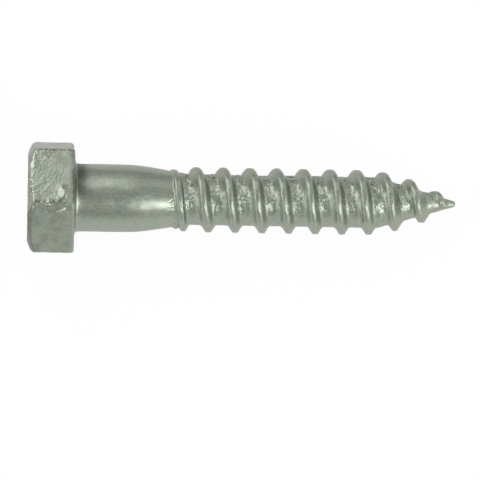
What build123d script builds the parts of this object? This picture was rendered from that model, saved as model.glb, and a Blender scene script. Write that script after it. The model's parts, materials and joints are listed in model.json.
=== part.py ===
"""Hex head lag screw, 3/8 in by 2 in, hot-dip galvanised, lying as it comes to rest.

The screw is turned and threaded along its own axis, +X from the head to the point, with the
middle of the bearing face at the origin. It is then laid down on one wrench flat and on the
lowest crest of the thread, so that its point hangs a few degrees below level.
"""
from build123d import *
from math import asin, atan2, cos, degrees, hypot, radians, sin, sqrt, tan
import os

# Hex head
head_flats = 14.0                # across flats: a 9/16 in wrench, with its usual slack
head_height = 6.27
head_face_radius = 5.98          # flat round end face inside the crowned chamfer
head_crown_radius = 17.6         # sphere that rounds the end face off into the flats
head_corner_round = 0.4          # the six long corners, softened by the zinc
bearing_edge_round = 0.25        # rim of the bearing face
under_head_fill = 0.55           # zinc gathered in the corner between head and shank

# Body, from the bearing face
length = 51.75                   # bearing face to tip
shank_radius = 4.57
shank_length = 8.55
neck_length = 6.7                # cone from the shank down to the root of the thread
root_radius = 3.42
point_half_angle = 16.2
tip_radius = 0.45

# Thread: one right-hand ridge
pitch = 3.628571                 # seven turns to the inch
crest_radius = 4.42
crest_width = 0.65
flank_angle = 34                 # from a plane square to the axis
thread_start = 2.5               # behind the shank's end, on the neck
start_angle = -235               # from straight up, turning towards the near side
run_out_turns = 1.2              # the ridge rises to full height over this much of a turn
crest_taper_length = 14.0        # the crest closes on the tip over this length
crest_taper_power = 2.25
ridge_fade = 1.3                 # the ridge ends this far short of the tip
ridge_sink = 0.25                # depth of the ridge's foot below the root
ridge_least = 0.02               # height that the ridge starts from
sections_per_turn = 12

neck_slope = (shank_radius - root_radius) / neck_length
tip_apex_gap = tip_radius / sin(radians(point_half_angle)) - tip_radius


def root_at(x):
    """Radius of the body under the ridge."""
    neck = shank_radius - neck_slope * (x - shank_length)
    point = tan(radians(point_half_angle)) * (length - x + tip_apex_gap)
    return min(max(neck, root_radius), point)


def fullness_at(x):
    """Share of its full radius and width that the crest keeps as it closes on the tip."""
    closing = max(0, (crest_taper_length - (length - x)) / crest_taper_length)
    return 1 - closing**crest_taper_power


def crest_at(x, turn):
    """Radius of the ridge's crest: it rises out of the neck and closes on the tip."""
    rise = min(1, turn / run_out_turns)
    return root_at(x) + max(ridge_least, (crest_radius * fullness_at(x) - root_at(x)) * rise)


def ridge_x(turn):
    return shank_length + thread_start + pitch * turn


with BuildPart() as screw:
    # Head: hexagon with flats above and below, its end face rounded off by a large sphere
    with BuildSketch(Plane.YZ.offset(-head_height)):
        RegularPolygon(head_flats / 2, 6, major_radius=False)
    extrude(amount=head_height)
    fillet(screw.edges().filter_by(Axis.X), head_corner_round)
    with Locations((-head_height + sqrt(head_crown_radius**2 - head_face_radius**2), 0, 0)):
        Sphere(head_crown_radius, mode=Mode.INTERSECT)
    fillet(screw.faces().sort_by(Axis.X)[-1].edges(), bearing_edge_round)

    # Body: shank, neck, root and point, turned as one profile
    point_start = length + tip_apex_gap - root_radius / tan(radians(point_half_angle))
    tip_turn = 90 - point_half_angle
    tip_contact = (
        length - tip_radius + tip_radius * cos(radians(tip_turn)),
        tip_radius * sin(radians(tip_turn)),
    )
    with BuildSketch(Plane.XZ):
        with BuildLine():
            Polyline(
                (-head_height / 2, shank_radius),
                (shank_length, shank_radius),
                (shank_length + neck_length, root_radius),
                (point_start, root_radius),
                tip_contact,
            )
            CenterArc((length - tip_radius, 0), tip_radius, 0, tip_turn)
            Polyline((length, 0), (-head_height / 2, 0), (-head_height / 2, shank_radius))
        make_face()
    revolve(axis=Axis.X)
    neck_ring = screw.edges().filter_by(GeomType.CIRCLE).filter_by_position(Axis.X, -0.01, 0.01)
    chamfer(neck_ring, under_head_fill)

    # Thread: lofted turn by turn through sections of the ridge
    thread_turns = (length - ridge_fade - ridge_x(0)) / pitch
    steps = round(thread_turns * sections_per_turn)
    for first in range(0, steps, sections_per_turn):
        for step in range(first, min(first + sections_per_turn, steps) + 1):
            turn = thread_turns * step / steps
            x = ridge_x(turn)
            foot = root_at(x) - ridge_sink
            height = crest_at(x, turn) - foot
            with BuildSketch(Plane.XZ.rotated((start_angle + 360 * turn, 0, 0))):
                with Locations((x, foot)):
                    Trapezoid(
                        crest_width * fullness_at(x) + 2 * height * tan(radians(flank_angle)),
                        height,
                        90 - flank_angle,
                        align=(Align.CENTER, Align.MIN),
                    )
        loft()

# Lay the screw down: a line along the floor touches the rim of the bearing face and one crest
corner_x, corner_z = -bearing_edge_round, head_flats / 2 - bearing_edge_round
first_low_turn = (180 - start_angle) / 360
droops = []
for whole_turns in range(int(thread_turns - first_low_turn) + 1):
    turn = first_low_turn + whole_turns
    run = ridge_x(turn) + crest_width * fullness_at(ridge_x(turn)) / 2 - corner_x
    drop = corner_z - crest_at(ridge_x(turn), turn)
    droops.append(atan2(drop, run) + asin(bearing_edge_round / hypot(run, drop)))
droop = degrees(min(droops))

with BuildPart() as lag_screw:
    with Locations(Rotation(0, droop, 0)):
        add(screw.part)

print(f"the axis droops {droop:.4f} degrees towards the point")
os.makedirs("parts", exist_ok=True)
lag_screw.part.label = "lag_screw"
export_step(lag_screw.part, "parts/lag_screw.step")
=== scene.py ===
# %% [markdown]
# # A hot-dip galvanised lag screw
# A lag screw is forged and rolled from one piece of steel, then dipped in molten zinc. The zinc
# rounds every edge, sags to one side while it drains, and sets in lumps where the thread holds
# it back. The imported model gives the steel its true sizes. This lesson gives it the zinc skin,
# the grey-green finish, and a pale table in soft light.

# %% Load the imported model
import json
from math import cos, pi, radians, sin

import bpy
import numpy as np
from mathutils import Matrix, Vector, noise


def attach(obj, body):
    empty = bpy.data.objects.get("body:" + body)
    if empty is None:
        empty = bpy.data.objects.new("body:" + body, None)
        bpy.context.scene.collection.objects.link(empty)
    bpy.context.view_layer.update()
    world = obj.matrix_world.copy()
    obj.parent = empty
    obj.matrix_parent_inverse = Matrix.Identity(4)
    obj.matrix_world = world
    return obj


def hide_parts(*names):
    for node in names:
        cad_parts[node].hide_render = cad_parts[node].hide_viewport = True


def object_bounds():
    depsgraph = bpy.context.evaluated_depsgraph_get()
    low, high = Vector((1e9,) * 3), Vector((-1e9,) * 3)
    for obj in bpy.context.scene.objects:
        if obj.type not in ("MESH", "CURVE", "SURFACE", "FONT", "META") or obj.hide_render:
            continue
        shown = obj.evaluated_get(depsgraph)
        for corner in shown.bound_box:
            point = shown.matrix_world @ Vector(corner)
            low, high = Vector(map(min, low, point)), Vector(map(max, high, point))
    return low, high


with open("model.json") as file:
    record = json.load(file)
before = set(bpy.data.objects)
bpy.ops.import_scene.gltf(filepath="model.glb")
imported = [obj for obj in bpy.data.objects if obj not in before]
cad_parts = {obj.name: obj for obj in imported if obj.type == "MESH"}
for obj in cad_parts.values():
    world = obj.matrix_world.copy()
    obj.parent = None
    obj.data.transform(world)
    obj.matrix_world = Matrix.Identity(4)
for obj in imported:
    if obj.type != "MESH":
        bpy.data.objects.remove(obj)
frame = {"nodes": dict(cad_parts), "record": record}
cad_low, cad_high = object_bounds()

MM = 0.001
screw_axis = Vector(frame["record"]["mounts"][0]["axis"]).normalized()
far_side = Vector((0, 1, 0))
over_side = screw_axis.cross(far_side).normalized()
print("length of the box in mm:", round((cad_high[0] - cad_low[0]) / MM, 2))

# %% [markdown]
# ## The camera
# A long lens keeps the hexagon's sides parallel, as a maker's catalogue does. The camera looks
# steeply down on the table, so that two wrench flats share the view, and it is rolled a little
# until the screw runs almost level across the picture. It could be aimed by hand, but its three
# directions are worked out from the screw's own axis instead, so they stay true if the screw is
# laid down differently. It is placed first, because every later step is judged through it.

# %% Work out the camera's directions
around_axis = radians(68.07)
along_tilt = radians(-4.0)
slope_in_view = radians(0.962)

square_to_axis = over_side * sin(around_axis) - far_side * cos(around_axis)
to_camera = screw_axis * sin(along_tilt) + square_to_axis * cos(along_tilt)
level = (screw_axis - to_camera * screw_axis.dot(to_camera)).normalized()
picture_right = level * cos(slope_in_view) + to_camera.cross(level) * sin(slope_in_view)
picture_up = to_camera.cross(picture_right)
print("towards the camera:", [round(share, 2) for share in to_camera])

# %% Place the camera
picture_width = 64.96 * MM
camera_distance = 400 * MM
aim_along, aim_left, aim_down = 22.68, 0.291, 5.352
aim = screw_axis * aim_along * MM - picture_right * aim_left * MM - picture_up * aim_down * MM

bpy.ops.object.camera_add()
camera = bpy.context.object
camera.name = "studio_camera"
camera.data.clip_start = 0.01
camera.data.lens = camera_distance * camera.data.sensor_width / picture_width
turn = Matrix((picture_right, picture_up, to_camera)).transposed().to_4x4()
camera.matrix_world = Matrix.Translation(aim + to_camera * camera_distance) @ turn
bpy.context.scene.camera = camera
print(f"lens {camera.data.lens:.0f} mm")

# %% [markdown]
# ## The skin that zinc grows on
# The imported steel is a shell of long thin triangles, which is right for measuring and wrong for
# sculpting. It could be subdivided, but its slivers would crease. So a copy is merged into one
# closed shell and remeshed into even little cells, a tenth of a millimetre across, which can
# then be pushed about like clay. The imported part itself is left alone.


# %% Copy the steel
def pick_only(piece):
    bpy.ops.object.select_all(action="DESELECT")
    piece.select_set(True)
    bpy.context.view_layer.objects.active = piece


pick_only(frame["nodes"]["lag_screw"])
bpy.ops.object.duplicate()
screw = bpy.context.object
screw.name = "zinc_coated_screw"
bpy.ops.object.mode_set(mode="EDIT")
bpy.ops.mesh.select_all(action="SELECT")
bpy.ops.mesh.remove_doubles(threshold=0.001 * MM)
bpy.ops.object.mode_set(mode="OBJECT")
print("corners of the merged steel:", len(screw.data.vertices))


# %% Remesh it into even cells
def finish_with(piece, kind, **settings):
    pick_only(piece)
    modifier = piece.modifiers.new(kind.lower(), kind)
    for name, value in settings.items():
        setattr(modifier, name, value)
    bpy.ops.object.modifier_apply(modifier=modifier.name)


cell = 0.105 * MM
finish_with(screw, "REMESH", mode="VOXEL", voxel_size=cell)
print("cells on the skin:", len(screw.data.polygons))

# %% [markdown]
# ## Where a point lies
# Zinc doesn't know about x, y and z. It knows how far a spot is from the head, which side of the
# screw it is on, and whether it is on a crest or in a valley of the thread. So each point's place
# is worked out once in those terms. The thread is a helix, so a point's distance past the nearest
# crest is its distance along the axis less the climb of the ridge up to its own side. The first
# turn was rolled a little late, and the ridge drifts back to its true pitch over the next one.

# %% The sizes of the shank and the thread
shank_radius = 4.57 * MM
root_radius = 3.42 * MM
crest_radius = 4.42 * MM
neck_start, neck_end = 8.55 * MM, 15.25 * MM
tip_at = 51.75 * MM
point_slope = 0.2905
point_apex = tip_at + 1.163 * MM

pitch = 25.4 / 7 * MM
ridge_start = 11.05 * MM
ridge_start_angle = radians(-235)
ridge_rises_over = 1.1
late_start = 0.75 * MM
late_from, late_until = 12.5 * MM, 16 * MM
thread_from, thread_full = 10.2 * MM, 11.2 * MM
groove_from, groove_full = 12.2 * MM, 13.2 * MM
closing_length = 14 * MM
closing_power = 2.25
drain_side = radians(158)
print(f"{(tip_at - ridge_start) / pitch:.1f} turns of thread")


# %% Read where each point lies
def ramp(value, low, high):
    share = np.clip((value - low) / (high - low), 0, 1)
    return share * share * (3 - 2 * share)


class Places:
    def __init__(self, piece):
        points = np.empty(len(piece.data.vertices) * 3, dtype=np.float32)
        piece.data.vertices.foreach_get("co", points)
        self.points = points.reshape(-1, 3).astype(float)
        self.along = self.points @ np.array(screw_axis)
        self.near = -self.points @ np.array(far_side)
        self.over = self.points @ np.array(over_side)
        self.radius = np.hypot(self.near, self.over)
        self.side = np.arctan2(self.over, self.near)
        self.drained = 0.5 + 0.5 * np.cos(self.side - drain_side)
        self.follow_thread()

    def follow_thread(self):
        climbed = (np.arctan2(self.near, self.over) - ridge_start_angle) / (2 * pi)
        drift = late_start * (1 - ramp(self.along, late_from, late_until))
        past = (self.along - drift - ridge_start) / pitch - climbed
        self.past = (past - np.round(past)) * pitch
        self.crest_along = self.along - drift - self.past
        before_tip = ramp(tip_at - self.along, 0.6 * MM, 2.4 * MM)
        self.threaded = ramp(self.along, thread_from, thread_full) * before_tip
        self.grooved = self.threaded * ramp(self.along, groove_from, groove_full)


place = Places(screw)
print("points on the thread:", int((place.threaded > 0.5).sum()))


# %% Read the height of the ridge
def root_at(place):
    neck_share = (place.along - neck_start) / (neck_end - neck_start)
    neck = shank_radius - (shank_radius - root_radius) * neck_share
    return np.minimum(np.maximum(neck, root_radius), point_slope * (point_apex - place.along))


def ridge_height(place):
    closing = np.clip(1 - (tip_at - place.crest_along) / closing_length, 0, 1)
    full = crest_radius * (1 - closing**closing_power) - root_at(place)
    turns = (place.crest_along - ridge_start) / pitch
    return np.clip(full, 0, None) * np.clip(turns / ridge_rises_over, 0, 1)


print(f"the ridge stands up to {ridge_height(place).max() / MM:.2f} mm high")

# %% [markdown]
# ## The ridge
# Rolling leaves a ridge with straight flanks and a flat crest. The zinc that clings to it rounds
# the crest, fills the corner at its foot, most of all on the side that faces the head, and hangs
# fat on the side where it drained. Bevels and smoothing treat every side alike, so this form is
# worked out instead. Each point is moved straight out from the axis, onto a profile whose corners
# are blended softly and whose widths change around the screw.


# %% Blend heights and widths softly
def soft_least(one, other, blend):
    overlap = np.maximum(blend - np.abs(one - other), 0) / blend
    return np.minimum(one, other) - overlap**2 * blend / 4


def soft_most(one, other, blend):
    return -soft_least(-one, -other, blend)


def by_side(place, dry, low, high, drained):
    return np.interp(place.drained, [0, 0.35, 0.65, 1], [dry, low, high, drained]) * MM


print("two roofs of height 1 meet at", soft_least(1.0, 1.0, 0.4))


# %% The ridge's profile in zinc
def zinc_ridge(place):
    height = ridge_height(place)
    full = crest_radius - root_radius
    widened = 0.45 + 0.55 * height / full
    head_foot = by_side(place, 1.00, 1.10, 1.20, 0.98) * widened
    tip_foot = by_side(place, 0.92, 1.02, 1.02, 0.94) * widened
    head_crest = by_side(place, 0.34, 0.28, 0.30, 0.42) * widened
    tip_crest = by_side(place, 0.32, 0.18, 0.34, 0.42) * widened
    head_flank = (place.past + head_foot) * full / (head_foot - head_crest)
    tip_flank = (tip_foot - place.past) * full / (tip_foot - tip_crest)
    head_side = soft_least(head_flank, height, by_side(place, 0.15, 0.15, 0.12, 0.60))
    tip_side = soft_least(tip_flank, height, by_side(place, 0.18, 0.32, 0.28, 0.45))
    ridge = soft_least(head_side, tip_side, 0.06 * MM)

    head_fill = by_side(place, 0.35, 0.70, 0.80, 0.40)
    tip_fill = by_side(place, 0.25, 0.30, 0.30, 0.25)
    fill = np.where(place.past < 0, head_fill, tip_fill)
    return soft_most(ridge, 0 * ridge, fill * np.clip(height / full, 0.001, 1) ** 0.6)


print(f"with its zinc it stands up to {zinc_ridge(place).max() / MM:.2f} mm high")


# %% Press the ridge and the neck into shape
def move_out(piece, place, distance):
    spokes = place.points - place.along[:, None] * np.array(screw_axis)
    from_axis = np.maximum(place.radius, 0.01 * MM)
    moved = place.points + spokes / from_axis[:, None] * distance[:, None]
    piece.data.vertices.foreach_set("co", moved.astype(np.float32).ravel())
    piece.data.update()


def neck_rounding(place):
    slope = (shank_radius - root_radius) / (neck_end - neck_start)
    neck = shank_radius - slope * (place.along - neck_start)
    rounded = soft_least(neck, shank_radius, 0.35 * MM) - np.minimum(neck, shank_radius)
    return rounded * (place.along > 2 * MM)


distance = place.threaded * (root_at(place) + zinc_ridge(place) - place.radius)
distance += neck_rounding(place)
move_out(screw, place, distance)
print(f"the skin moved by {distance.min() / MM:.2f} to {distance.max() / MM:.2f} mm")

# %% [markdown]
# ## Soften what the dip softened
# The zinc is a twentieth of a millimetre thick or more, so no corner stays sharp. A bevel would
# need clean edges, and the remeshed skin has none. A few light passes of Smooth round the whole
# skin instead, except the tip, which they would wear away. The rim of the bearing face gets more
# passes: zinc hangs there as the screw is lifted from the bath.


# %% Soften the whole skin
def name_place(piece, name, strength):
    group = piece.vertex_groups.new(name=name)
    for index in np.nonzero(strength > 0.002)[0]:
        group.add([int(index)], float(strength[index]), "REPLACE")
    return name


def soften(piece, name, strength, passes):
    named = name_place(piece, name, strength)
    finish_with(piece, "SMOOTH", factor=0.5, iterations=passes, vertex_group=named)


place = Places(screw)
behind_tip = ramp(tip_at - place.along, 0.5 * MM, 2.0 * MM)
soften(screw, "behind_tip", behind_tip, 3)
print("points softened:", int((behind_tip > 0.002).sum()))

# %% Soften the bearing rim
place = Places(screw)
at_bearing = 1 - ramp(np.abs(place.along + 0.2 * MM), 0.3 * MM, 0.6 * MM)
bearing_rim = at_bearing * ramp(place.radius, 6.2 * MM, 6.6 * MM)
soften(screw, "bearing_rim", bearing_rim, 14)
print("points on the bearing rim:", int((bearing_rim > 0.5).sum()))

# %% [markdown]
# ## Lumps in the valleys
# Between the ridges the draining zinc can't escape, and it sets like crumpled foil: broad pools
# with small beads and pinholes on them, rough in one turn and nearly smooth in the next. The
# lower side drains clean. A bump in the material could suggest this, but not in the outline. So
# Displace modifiers with noise textures carve it, the broad shapes first, and a named place keeps
# each of them where it belongs.


# %% Name the valleys and the crests
def patches(place, size, seed):
    spots = place.points / size + seed
    return np.array([noise.noise(spot) for spot in spots.tolist()])


place = Places(screw)
past_tip_foot = ramp(place.past, 0.80 * MM, 1.10 * MM)
past_head_foot = ramp(-place.past, 0.95 * MM, 1.30 * MM)
past_foot = np.maximum(past_tip_foot, past_head_foot)
in_valley = place.grooved * past_foot * (0.15 + 0.85 * ramp(place.drained, 0.12, 0.45))
rough_valley = in_valley * np.clip(0.62 + 1.3 * patches(place, 2.4 * MM, 5), 0.30, 1)
name_place(screw, "valley", in_valley)
name_place(screw, "rough_valley", rough_valley)
name_place(screw, "crest", place.grooved * (1 - past_foot))
name_place(screw, "drained_crest", place.threaded * ramp(place.drained, 0.80, 0.97))
print("rough share of the valleys:", round(float(rough_valley.sum() / in_valley.sum()), 2))


# %% Carve the zinc on the thread
def zinc_relief(piece, name, pattern, size, height, where, middle=0.5):
    texture = bpy.data.textures.new(name, pattern)
    texture.noise_scale = size
    if pattern == "CLOUDS":
        texture.noise_depth = 1
    finish_with(
        piece, "DISPLACE", texture=texture, texture_coords="LOCAL", mid_level=middle,
        strength=height, vertex_group=where,
    )


zinc_relief(screw, "broad_waves", "CLOUDS", 1.6 * MM, 0.05 * MM, "behind_tip")
zinc_relief(screw, "pools", "CLOUDS", 0.8 * MM, 0.13 * MM, "valley")
zinc_relief(screw, "beads", "CLOUDS", 0.30 * MM, 0.15 * MM, "rough_valley")
zinc_relief(screw, "pinholes", "VORONOI", 0.28 * MM, -0.13 * MM, "rough_valley")
zinc_relief(screw, "crest_waves", "CLOUDS", 0.65 * MM, 0.07 * MM, "crest")
zinc_relief(screw, "crest_grain", "CLOUDS", 0.30 * MM, 0.07 * MM, "drained_crest")
print("carved:", [texture.name for texture in bpy.data.textures])

# %% [markdown]
# ## The skin of the head
# The crowned end meets the flats in a rim, and zinc gathers on its upper part in beads, as it
# does along the far edge of the upper flat. The flats themselves stay grainy, like cast metal,
# and the far one less so. The beads could be modelled one by one, but a noise texture that is
# held to a narrow place along the rim gives them at once. The rim is found from the head's own
# shape: it is where the sphere of the crown and one of the six flats are both close. All three
# reliefs use one reading of the places, taken before the first of them.

# %% Bead the rim of the crowned end
flat_at = 7.0 * MM
corner_at = 4.04 * MM
crown_radius = 17.6 * MM
crown_centre = 10.283 * MM


def under_crown(place):
    return crown_radius - np.hypot(place.along - crown_centre, place.radius)


def rim_share(place, reach):
    past_flat = place.side - pi / 6
    flat_turn = past_flat - np.round(past_flat / (pi / 3)) * pi / 3
    under_flat = flat_at - place.radius * np.cos(flat_turn)
    share = (1 - ramp(np.abs(under_crown(place)), 0.08 * MM, reach)) * (place.along < -4 * MM)
    return share * (1 - ramp(under_flat, 0.10 * MM, reach + 0.05 * MM))


place = Places(screw)
on_top = 0.12 + 0.88 * ramp(np.cos(place.side - pi / 2), 0.80, 0.90)
beaded_rim = rim_share(place, 0.30 * MM) * on_top
name_place(screw, "beaded_rim", beaded_rim)
zinc_relief(screw, "rim_beads", "CLOUDS", 0.45 * MM, 0.48 * MM, "beaded_rim", middle=0.40)
print("points on the beaded rim:", int((beaded_rim > 0.5).sum()))


# %% Bead the far edge of the upper flat
def from_far_edge(place):
    return np.hypot(place.near + corner_at, place.over - flat_at)


at_far_edge = 1 - ramp(from_far_edge(place), 0.25 * MM, 0.5 * MM)
name_place(screw, "far_edge", at_far_edge * (place.along < -0.3 * MM))
zinc_relief(screw, "edge_beads", "CLOUDS", 0.42 * MM, 0.24 * MM, "far_edge", middle=0.62)
print("points along the far edge:", int((at_far_edge > 0.5).sum()))

# %% Roughen the flats
far_flat_side = radians(150)


def far_flat_share(place):
    towards_it = ramp(np.cos(place.side - far_flat_side), 0.86, 0.90)
    return towards_it * ramp(place.radius, 6.3 * MM, 6.7 * MM)


on_head = 1 - ramp(place.along, -0.5 * MM, -0.2 * MM)
upper_side = ramp(place.over - place.near, 0.5 * MM, 2.5 * MM)
grainy = np.clip(0.6 + 2.0 * patches(place, 1.6 * MM, 31), 0.1, 1)
grainy *= 1 - 0.75 * far_flat_share(place)
name_place(screw, "head", on_head)
name_place(screw, "upper_head", grainy * on_head * upper_side)
zinc_relief(screw, "head_waves", "CLOUDS", 1.1 * MM, 0.055 * MM, "head")
zinc_relief(screw, "head_grain", "CLOUDS", 0.34 * MM, 0.12 * MM, "upper_head")
print(f"grain on the flats: {grainy[on_head > 0.5].mean():.2f} of its full height")

# %% [markdown]
# ## The lap where the thread begins
# The rolling dies pick up the blank beside the first turn and fold a little metal over, which
# makes a second small peak before the thread proper. It could be drawn as one more ridge, but it
# is only a millimetre long. So it is a mound: a place that is strongest in its middle, pushed
# outwards by a Displace modifier. The drop and the bead on the head are mounds too.


# %% Raise the lap
def mound(place, middle, reach):
    along, near, over = middle
    long, wide, deep = reach
    off = ((place.along / MM - along) / long) ** 2 + ((place.near / MM - near) / wide) ** 2
    off += ((place.over / MM - over) / deep) ** 2
    return np.clip(1 - off, 0, 1) ** 1.5


def push_out(piece, name, strength, height):
    named = name_place(piece, name, strength)
    finish_with(piece, "DISPLACE", mid_level=0, strength=height, vertex_group=named)


place = Places(screw)
lap = mound(place, (13.75, 3.6, -1.5), (0.60, 1.3, 1.6))
push_out(screw, "lap", lap, 0.36 * MM)
print("points in the lap:", int((lap > 0).sum()))

# %% [markdown]
# ## The rolled rim beside the shank
# On the upper side the rim of the bearing face is rolled over by the blow that forged the head,
# and its edge wanders. A bevel would be straight and even. So the last three quarters of a
# millimetre of the flats are pressed inwards, by a share that noise makes uneven.


# %% Roll the rim
def rolled_share(place):
    rolled_width = 0.75
    uneven = patches(place, 0.9 * MM, 41) * 0.6
    share = np.clip(place.along / MM / rolled_width + 1 + uneven, 0, 1) ** 2
    upper_side = ramp(place.over - place.near, 1.5 * MM, 4.0 * MM)
    return share * (place.radius > 6.4 * MM) * upper_side


place = Places(screw)
rolled = rolled_share(place)
push_out(screw, "rolled_rim", rolled, -0.24 * MM)
print("points on the rolled rim:", int((rolled > 0.5).sum()))

# %% [markdown]
# ## The drop on the upper flat
# The head came out of the bath last, and a round drop of zinc set on the upper flat. A drop is
# smoother than the skin around it, as it stayed liquid longest. A squashed sphere would have to
# be joined to the skin. So its place is first smoothed, which wipes the grain away, and then
# pushed out as a mound, which runs into the flat without an edge.

# %% Set the drop
drop_spot = (-1.75, 2.45)

place = Places(screw)
drop_face = ramp(mound(place, (*drop_spot, 7.0), (1.25, 1.75, 1.6)), 0, 0.3)
drop_mound = mound(place, (*drop_spot, 7.0), (1.05, 1.50, 1.6))
soften(screw, "drop_face", drop_face, 12)
push_out(screw, "drop", drop_mound, 0.38 * MM)
print("points in the drop:", int((drop_mound > 0).sum()))

# %% [markdown]
# ## The scar over the long corner
# In front of the drop the zinc was knocked or wiped off while it was soft. It left a shallow scar
# that folds over the corner between two flats, with a wandering upper border, a straighter lower
# one, and a small bead at its side. A sculpting brush would do it, but could not be repeated
# exactly. So the scar is described by how far a point lies across the corner, as if both flats
# were unrolled, and between two borders the skin is smoothed and pressed in.


# %% Press the scar
def scar_share(place):
    wobble = patches(place, 0.8 * MM, 11) * 0.30 * MM
    cos_60, sin_60 = 0.5, 0.866
    down_face = (place.near - corner_at) * cos_60 + (flat_at - place.over) * sin_60
    across = np.where(place.near < corner_at, place.near - corner_at, down_face)
    stations, reaches = [-5.9, -5.5, -3.4, -2.0, -1.0], [0.6, 1.15, 1.20, 1.10, 0.5]
    lower = np.interp(place.along / MM, stations, reaches) * MM
    upper = -0.45 * lower
    border = 0.06 * MM
    share = ramp(across + wobble, upper - border, upper + border)
    share *= 1 - ramp(across, lower - border, lower + border)
    share *= (place.radius > 6.8 * MM) * (np.abs(place.side - pi / 3) < 0.6)
    before_rim = 1 - ramp(place.along, -1.6 * MM, -0.9 * MM)
    return share * (ramp(place.along, -5.85 * MM, -5.65 * MM) * before_rim), across


place = Places(screw)
scar, across = scar_share(place)
soften(screw, "scar_face", scar, 12)
push_out(screw, "scar", scar, -0.27 * MM)
print("points in the scar:", int((scar > 0.5).sum()))

# %% Set the bead beside the scar
bead_spot = (-3.45, 3.72)

place = Places(screw)
bead_mound = mound(place, (*bead_spot, 6.9), (0.46, 0.46, 0.8))
push_out(screw, "bead", bead_mound, 0.50 * MM)
print("points in the bead:", int((bead_mound > 0).sum()))

# %% [markdown]
# ## Under the head
# The shank runs into the head in a slim hollow corner, where a die left hardly any radius and the
# zinc only rounds it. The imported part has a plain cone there. It could be cut off and rebuilt,
# but the skin is already closed and even. So it is smoothed, and every point that stands outside
# a curve that falls away quickly from the head is drawn in to that curve.

# %% Slim the corner under the head
place = Places(screw)
under_head = ramp(place.along, -0.05 * MM, 0.1 * MM)
under_head *= 1 - ramp(place.along, 1.2 * MM, 1.8 * MM)
under_head *= 1 - ramp(place.radius, 5.6 * MM, 6.0 * MM)
soften(screw, "corner", under_head, 14)

place = Places(screw)
slim_radius = shank_radius + 0.42 * MM * np.exp(-place.along / (0.17 * MM))
too_fat = np.clip(place.radius - slim_radius, 0, None) * (place.radius < 5.8 * MM)
too_fat *= ramp(place.along, 0.05 * MM, 0.20 * MM) * (place.along < 3 * MM)
move_out(screw, place, -too_fat)
print(f"the corner was slimmed by up to {too_fat.max() / MM:.2f} mm")

# %% [markdown]
# ## Fewer, better triangles
# The even cells are needed only where the form turns. A coarser remesh would lose the beads, so
# Decimate merges cells where the skin is flat. Last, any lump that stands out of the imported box
# is pressed back to it, as the steel's outside sizes are the ones a designer relies on.

# %% Thin the mesh and keep it in its box
points_wanted = 98000
finish_with(screw, "DECIMATE", ratio=min(1, points_wanted / len(screw.data.vertices)))
place = Places(screw)
in_box = np.clip(place.points, np.array(cad_low), np.array(cad_high))
screw.data.vertices.foreach_set("co", in_box.astype(np.float32).ravel())
screw.data.update()
pick_only(screw)
bpy.ops.object.shade_smooth()
print("triangles:", sum(len(face.vertices) - 2 for face in screw.data.polygons))

# %% [markdown]
# ## What the material needs to know
# A shader can't tell a valley from a crest, or a drop from the flat around it. It could guess from
# the slope of the surface, but that would mix the two up. So a few masks are painted on the
# points of the finished mesh, each a share from 0 to 1, and the material reads them by name. The
# first says how much a point belongs to the valleys.


# %% Paint the valleys
def paint(piece, name, values):
    mask = piece.data.attributes.new(name, "FLOAT", "POINT")
    mask.data.foreach_set("value", np.clip(values, 0, 1).astype(np.float32))


place = Places(screw)
in_valley = place.grooved * ramp(np.abs(place.past), 0.9 * MM, 1.3 * MM)
paint(screw, "in_valley", in_valley)
print(f"valleys: {(in_valley > 0.5).mean():.0%} of the points")

# %% [markdown]
# ## Where the zinc shines
# Where zinc stayed liquid longest it set smooth: on the drop and the bead, on the lip below the
# scar, along the beaded rim, and a little on the far flat. Each could have a material of its own,
# but the borders would show. One mask fades from the dull skin into all of them.

# %% Paint the drops
drop = mound(place, (*drop_spot, 7.2), (1.0, 1.45, 1.6))
bead = mound(place, (*bead_spot, 7.1), (0.50, 0.50, 0.9))
scar, across = scar_share(place)
scar_border = 4 * scar * (1 - scar)
lip_starts = 0.2 * MM
far_flat = far_flat_share(place)

drops = np.maximum.reduce([
    0.6 * ramp(drop, 0.1, 0.6),
    ramp(bead, 0, 0.3),
    scar_border * (across > lip_starts),
    rim_share(place, 0.40 * MM) * (place.near < corner_at),
    0.35 * far_flat,
])
paint(screw, "drops", drops)
print(f"shining zinc: {(drops > 0.3).mean():.1%} of the points")

# %% [markdown]
# ## The grainy head and the duller thread
# The head has the coarsest grain, except where its zinc is smooth, and the thread is a little
# duller than the shank. Faces could be given to two materials, but their border would be a line
# around the screw. These two masks end softly instead.

# %% Paint the head and the thread
smooth_zinc = np.maximum.reduce([drops, ramp(drop, 0, 0.3), far_flat])
on_head = (1 - ramp(place.along, -0.4 * MM, 0.1 * MM)) * (1 - smooth_zinc)
on_thread = ramp(place.along, 12.5 * MM, 14.5 * MM)
paint(screw, "on_head", on_head)
paint(screw, "on_thread", on_thread)
print(f"grainy head: {(on_head > 0.5).mean():.0%}, thread: {(on_thread > 0.5).mean():.0%}")

# %% [markdown]
# ## Where dross, dirt and painted shade lie
# Ash floats on the bath and dross forms in it, and both are darker than clean zinc. They stick
# along the crowned end and the far edge of the upper flat, in blotches on the head, and as specks
# in the valleys. The same mask also paints shade: on one side of the corner under the head, where
# the head's shadow falls, along the rolled rim, and along the upper border of the scar. A painted
# texture would need the surface laid out flat. Each place can be found from the shape instead, so
# every one is worked out as a share, and they are added up in one mask.

# %% Find the painted shade under the head and the dross specks on the thread
# Painted shade: the shank is darkened in the corner under the head, on the side where the head's
# shadow falls.
corner_shade = np.exp(-np.clip(place.along - 1.3 * MM, 0, None) / (0.4 * MM))
corner_shade *= ramp(place.along, 0.1 * MM, 0.4 * MM)
shaded_side = radians(114)
on_shaded_side = ramp(np.cos(place.side - shaded_side), 0.60, 0.92)
corner_shade *= (1 - ramp(place.radius, 5.0 * MM, 5.4 * MM)) * on_shaded_side

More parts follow.
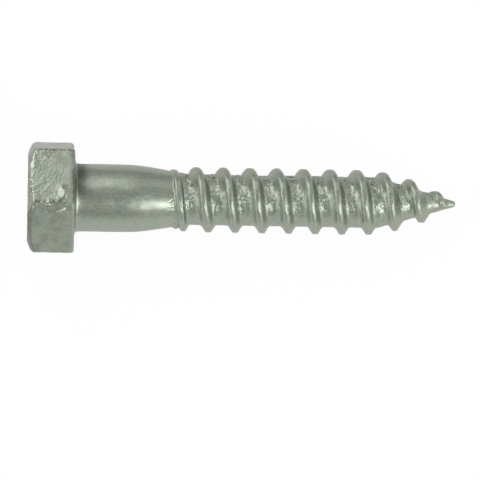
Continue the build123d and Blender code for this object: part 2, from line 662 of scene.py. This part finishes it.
specks = ramp(patches(place, 0.55 * MM, 21), 0.42, 0.52)
specks *= place.grooved
specks *= ramp(place.drained, 0.62, 0.8)
specks *= ramp(np.abs(place.past), 0.9 * MM, 1.1 * MM)
print("points in specks:", int((specks > 0.5).sum()))

# %% Find the dirt and the painted shade on the head
# Painted shade: the scar's upper border, the step down into it, is darkened; the far edge, the
# crowned end and the blotches are dirt.
scar_shade = scar_border * (across < lip_starts) * (1 - ramp(bead, 0, 0.3))
edge_dirt = 1 - ramp(from_far_edge(place), 0.15 * MM, 0.30 * MM)
edge_dirt *= ramp(patches(place, 0.5 * MM, 51), -0.1, 0.2)
rim_dirt = 1 - ramp(np.abs(under_crown(place)), 0.06 * MM, 0.16 * MM)
rim_dirt *= place.near > corner_at
blotches = 0.22 * ramp(patches(place, 1.1 * MM, 61), 0.05, 0.40)
head_dirt_and_shade = blotches + 0.8 * edge_dirt + 0.6 * rim_dirt + 0.6 * scar_shade + 0.05
head_dirt_and_shade *= place.along < -0.1 * MM
print(f"dirt on the head, at most: {head_dirt_and_shade.max():.2f}")

# %% Paint the dross
# Dross and dirt, with painted shade along the rolled rim, in the corner under the head and along
# the scar's upper border.
paint(screw, "dross_and_shade", 0.60 * rolled_share(place) + 0.95 * corner_shade + specks + head_dirt_and_shade)
print("masks:", [mask.name for mask in screw.data.attributes if mask.domain == "POINT"])

# %% [markdown]
# ## The finish
# Fresh galvanising is a bright metal that has lost its mirror: satin, grey with a green cast, and
# cloudy. A single grey would look like paint. Three things vary here: the tint drifts between a
# cool and a warm grey, the sheen is duller on the head than on the shank, and a fine grain breaks
# up every highlight. An image could carry them, but it would stretch over the thread. Noise that
# is cut from the space around the screw doesn't, so drift and grain are made of that, and each is
# a node group, which can be used at more than one size. The drift comes first.


# %% Open the group for the tint
def new_group(name, inputs, outputs):
    group = bpy.data.node_groups.new(name, "ShaderNodeTree")
    for socket, kind, value in inputs:
        made = group.interface.new_socket(socket, in_out="INPUT", socket_type=kind)
        if value is not None:
            made.default_value = value
    for socket, kind in outputs:
        group.interface.new_socket(socket, in_out="OUTPUT", socket_type=kind)
    given, result = group.nodes.new("NodeGroupInput"), group.nodes.new("NodeGroupOutput")
    return group, given.outputs, result.inputs


drift, given, result = new_group(
    "zinc_drift",
    [
        ("Place", "NodeSocketVector", None),
        ("Cloud size", "NodeSocketFloat", 1.0),
        ("Cool", "NodeSocketColor", (0.3, 0.4, 0.35, 1)),
        ("Warm", "NodeSocketColor", (0.4, 0.4, 0.3, 1)),
    ],
    [("Color", "NodeSocketColor"), ("Share", "NodeSocketFloat")],
)
print("group", drift.name, "takes", [socket.name for socket in given if socket.name])


# %% Make the clouds
def feed(tree, socket, value):
    if isinstance(value, bpy.types.NodeSocket):
        tree.links.new(value, socket)
    else:
        socket.default_value = value


def add_node(tree, kind, **values):
    node = tree.nodes.new(kind)
    for name, value in values.items():
        feed(tree, node.inputs[name.replace("_", " ")], value)
    return node


def calculate(tree, operation, *values):
    node = tree.nodes.new("ShaderNodeMath")
    node.operation = operation
    for socket, value in zip(node.inputs, values):
        feed(tree, socket, value)
    return node.outputs["Value"]


scale = calculate(drift, "DIVIDE", 1.0, given["Cloud size"])
clouds = add_node(
    drift, "ShaderNodeTexNoise", Vector=given["Place"], Scale=scale, Detail=3.0, Roughness=0.6
)
spread = add_node(
    drift, "ShaderNodeMapRange", Value=clouds.outputs["Fac"], From_Min=0.32, From_Max=0.68
).outputs["Result"]
print("detail of the clouds:", clouds.inputs["Detail"].default_value)


# %% Tint by the clouds
def blend(tree, first, second, share, kind="FLOAT", how="MIX"):
    node = tree.nodes.new("ShaderNodeMix")
    node.data_type, node.blend_type = kind, how
    feed(tree, node.inputs["A"], first)
    feed(tree, node.inputs["B"], second)
    feed(tree, node.inputs["Factor"], share)
    return node.outputs["Result"]


tint = blend(drift, given["Cool"], given["Warm"], spread, kind="RGBA")
feed(drift, result["Color"], tint)
feed(drift, result["Share"], spread)
print("group", drift.name, "has", len(drift.nodes), "nodes")

# %% [markdown]
# ## Grain and pits
# Under a lens the skin is a fine grain with round pits in it. Carved into the mesh this would
# need millions of triangles, and it is only a few hundredths of a millimetre deep. So it is given
# as a height, which the material turns into bump, and the pits are also given out as a mask, so
# that painted shade can darken them.

# %% Group: grain and pits
grain, given, result = new_group(
    "zinc_grain",
    [
        ("Place", "NodeSocketVector", None),
        ("Grain size", "NodeSocketFloat", 1.0),
        ("Pits", "NodeSocketFloat", 0.5),
    ],
    [("Height", "NodeSocketFloat"), ("Pit", "NodeSocketFloat")],
)
scale = calculate(grain, "DIVIDE", 1.0, given["Grain size"])
fine = add_node(
    grain, "ShaderNodeTexNoise", Vector=given["Place"], Scale=scale, Detail=2.0, Roughness=0.55
)
grains_to_a_pit = 0.35
wider = calculate(grain, "MULTIPLY", scale, grains_to_a_pit)
holes = add_node(grain, "ShaderNodeTexVoronoi", Vector=given["Place"], Scale=wider)
hole = add_node(
    grain, "ShaderNodeMapRange", Value=holes.outputs["Distance"],
    From_Min=0.10, From_Max=0.28, To_Min=1.0, To_Max=0.0,
).outputs["Result"]
deep = calculate(grain, "MULTIPLY", hole, given["Pits"])
total = calculate(grain, "SUBTRACT", fine.outputs["Fac"], deep)
feed(grain, result["Height"], total)
feed(grain, result["Pit"], deep)
print("group", grain.name, "has", len(grain.nodes), "nodes")

# %% [markdown]
# ## The zinc material
# Zinc is a metal, so its colour is the colour of its reflections. The broad clouds set the tint,
# and close ones of a quarter of a millimetre multiply it, so that no spot is quite even. A mild
# tint at grazing angles keeps the rims of the ridges from going pale where they turn away. A
# painted picture of zinc would have its own light in it, so it isn't used.

# %% Colour
zinc = bpy.data.materials.new("zinc")
zinc.use_nodes = True
tree = zinc.node_tree
shader = tree.nodes["Principled BSDF"]
shader.inputs["Metallic"].default_value = 1
shader.inputs["Specular Tint"].default_value = (0.92, 0.86, 0.90, 1)
spot = tree.nodes.new("ShaderNodeTexCoord").outputs["Object"]


def use_group(group, **values):
    node = tree.nodes.new("ShaderNodeGroup")
    node.node_tree = group
    for name, value in values.items():
        feed(tree, node.inputs[name.replace("_", " ")], value)
    feed(tree, node.inputs["Place"], spot)
    return node.outputs


broad = use_group(
    drift, Cloud_size=1.3 * MM, Cool=(0.327, 0.383, 0.323, 1), Warm=(0.371, 0.393, 0.317, 1)
)
close = use_group(
    drift, Cloud_size=0.28 * MM, Cool=(0.86, 0.88, 0.88, 1), Warm=(1.12, 1.12, 1.11, 1)
)
tinted = blend(tree, broad["Color"], close["Color"], 1, kind="RGBA", how="MULTIPLY")
print("groups in the tint:", [node.node_tree.name for node in tree.nodes if node.type == "GROUP"])

# %% [markdown]
# ## Grain in the right places
# The head is coarsest, the shank finest, and the valleys are pitted. Three materials would meet in
# hard borders, so three grains are blended by the masks into one height, and one bump reads it.

# %% Grain and pits
def mask(name):
    node = tree.nodes.new("ShaderNodeAttribute")
    node.attribute_name = name
    return node.outputs["Fac"]


head_grain = use_group(grain, Grain_size=0.28 * MM, Pits=0.5)
body_grain = use_group(grain, Grain_size=0.10 * MM, Pits=0.0)
valley_grain = use_group(grain, Grain_size=0.22 * MM, Pits=0.6)

coarse = calculate(tree, "MULTIPLY", head_grain["Height"], 4.0)
height = blend(tree, body_grain["Height"], coarse, mask("on_head"))
height = blend(tree, height, valley_grain["Height"], mask("in_valley"))
bump = add_node(tree, "ShaderNodeBump", Strength=1.0, Distance=0.010 * MM, Height=height)
feed(tree, shader.inputs["Normal"], bump.outputs["Normal"])
print("bump depth in mm:", round(bump.inputs["Distance"].default_value / MM, 3))

# %% [markdown]
# ## Sheen
# How wide a highlight spreads tells satin from gloss. It is narrow on the drops, wider on the
# shank, and widest on the head. One roughness for all would make either the shank dull or the
# head wet, so the masks choose it, and the close clouds make it a little uneven.

# %% Sheen
sheen = blend(tree, 0.34, 0.43, mask("on_head"))
sheen = blend(tree, sheen, 0.38, mask("on_thread"))
sheen = blend(tree, sheen, 0.22, mask("drops"))
roughness = calculate(tree, "MULTIPLY_ADD", close["Share"], 0.10, sheen)
feed(tree, shader.inputs["Roughness"], roughness)
read = {node.attribute_name for node in tree.nodes if node.type == "ATTRIBUTE"}
print("masks read so far:", sorted(read))

# %% [markdown]
# ## Dirt and painted shade over the colour
# Dross holds no shine, and the bottoms of pits are painted dark as the shade that falls into them.
# The dross mask also carries painted shade under the head, along the rolled rim and at the scar.
# They could be a second shader, but a dark metal does the same with less. So the tint is blended
# towards a dark olive wherever either mask says so.

# %% Darken the dross, and paint shade into the pits
dross_and_shade_colour = (0.13, 0.14, 0.11, 1)
# Painted shade: the pits in the valleys are darkened by their depth.
pit_shade = blend(tree, 0.0, valley_grain["Pit"], mask("in_valley"))
dirt_and_shade = calculate(tree, "MAXIMUM", pit_shade, mask("dross_and_shade"))
shaded = blend(tree, tinted, dross_and_shade_colour, dirt_and_shade, kind="RGBA")
feed(tree, shader.inputs["Base Color"], shaded)
print("zinc material has", len(tree.nodes), "nodes")

# %% Dress the screw
screw.data.materials.clear()
screw.data.materials.append(zinc)
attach(screw, "root")
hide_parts("lag_screw")
print(screw.name, "wears", [material.name for material in screw.data.materials])

# %% [markdown]
# ## The table
# A maker's picture shows the screw on white. The table is plain white paper, and where the camera
# or a reflection sees it, most of it glows at exactly white. The small share of real paper left
# keeps the screw's soft shadow. A brighter lamp would whiten the paper as well, but it would wash
# out the zinc.


# %% Table
def seen_directly(tree, also_reflected):
    ray = tree.nodes.new("ShaderNodeLightPath").outputs
    if not also_reflected:
        return ray["Is Camera Ray"]
    return calculate(tree, "MAXIMUM", ray["Is Camera Ray"], ray["Is Glossy Ray"])


bpy.ops.mesh.primitive_plane_add(size=1.6, location=(0, 0, cad_low.z))
table = bpy.context.object
table.name = "table"
paper = bpy.data.materials.new("white_paper")
paper.use_nodes = True
paper_tree = paper.node_tree
plain = paper_tree.nodes["Principled BSDF"]
plain.inputs["Base Color"].default_value = (0.88, 0.88, 0.88, 1)
plain.inputs["Roughness"].default_value = 0.9
plain.inputs["Specular IOR Level"].default_value = 0

glow_share = 0.96
seen = seen_directly(paper_tree, also_reflected=True)
glow = paper_tree.nodes.new("ShaderNodeEmission")
both = paper_tree.nodes.new("ShaderNodeMixShader")
surface = paper_tree.nodes["Material Output"].inputs["Surface"]
feed(paper_tree, both.inputs["Fac"], calculate(paper_tree, "MULTIPLY", seen, glow_share))
feed(paper_tree, both.inputs[1], plain.outputs[0])
feed(paper_tree, both.inputs[2], glow.outputs[0])
feed(paper_tree, surface, both.outputs[0])
table.data.materials.append(paper)
print("table at", round(cad_low.z / MM, 2), "mm")

# %% [markdown]
# ## The room
# A white room gives metal something even to reflect between the lamps. At full strength it would
# flatten the thread, so the screw gets less than half of it, and only the camera sees the room as
# white. Colours are shown as they are, without a film look, so that white stays white.

# %% The room
bpy.context.scene.view_settings.view_transform = "Standard"
world = bpy.data.worlds.new("studio")
bpy.context.scene.world = world
world.use_nodes = True
room_tree = world.node_tree
room = room_tree.nodes["Background"]
room.inputs["Color"].default_value = (1, 1, 1, 1)
room_strength = 0.4
seen = seen_directly(room_tree, also_reflected=False)
feed(room_tree, room.inputs["Strength"], blend(room_tree, room_strength, 1, seen))
print("room strength:", room_strength)

# %% [markdown]
# ## The softboxes
# Polished metal shows its lamps; satin zinc blurs them into long soft streaks. So what matters is
# where each softbox stands. The key stands low on the point's side and lights the neck, where the
# surface leans towards it. The large one at the back left draws the broad band high on the shank
# and the line along each crest, and a weak one at the back right fills the other flank. Two on
# the head's side light the end and the foot of each ridge, and two soft ones on the point's side
# fill the rest. A ring of equal lamps would be easier to set up, but it would light every flank
# alike, and the thread would look flat.

# %% Softboxes
lit_spot = screw_axis * 24 * MM
lamp_distance = 0.5


def softbox(name, azimuth, elevation, width, height, brightness):
    around, above = radians(azimuth), radians(elevation)
    towards = Vector((sin(around) * cos(above), -cos(around) * cos(above), sin(above)))
    bpy.ops.object.light_add(type="AREA", location=lit_spot + towards * lamp_distance)
    lamp = bpy.context.object
    lamp.name = name
    lamp.data.shape = "RECTANGLE"
    lamp.data.size, lamp.data.size_y = width, height
    lamp.data.energy = brightness * pi * width * height
    lamp.rotation_mode = "QUATERNION"
    lamp.rotation_quaternion = towards.to_track_quat("Z", "Y")


softbox("left_softbox", -88, 40, 0.18, 0.18, 5.2)
softbox("back_left_softbox", -153, 50, 0.22, 0.42, 2.8)
softbox("back_right_softbox", 138, 38, 0.18, 0.18, 1.4)
softbox("front_left_softbox", -60, 15, 0.20, 0.20, 2.6)
softbox("key_softbox", 38, 36, 0.14, 0.14, 12)
softbox("right_softbox", 90, 38, 0.20, 0.20, 2.0)
softbox("low_right_softbox", 60, 15, 0.20, 0.20, 3.6)
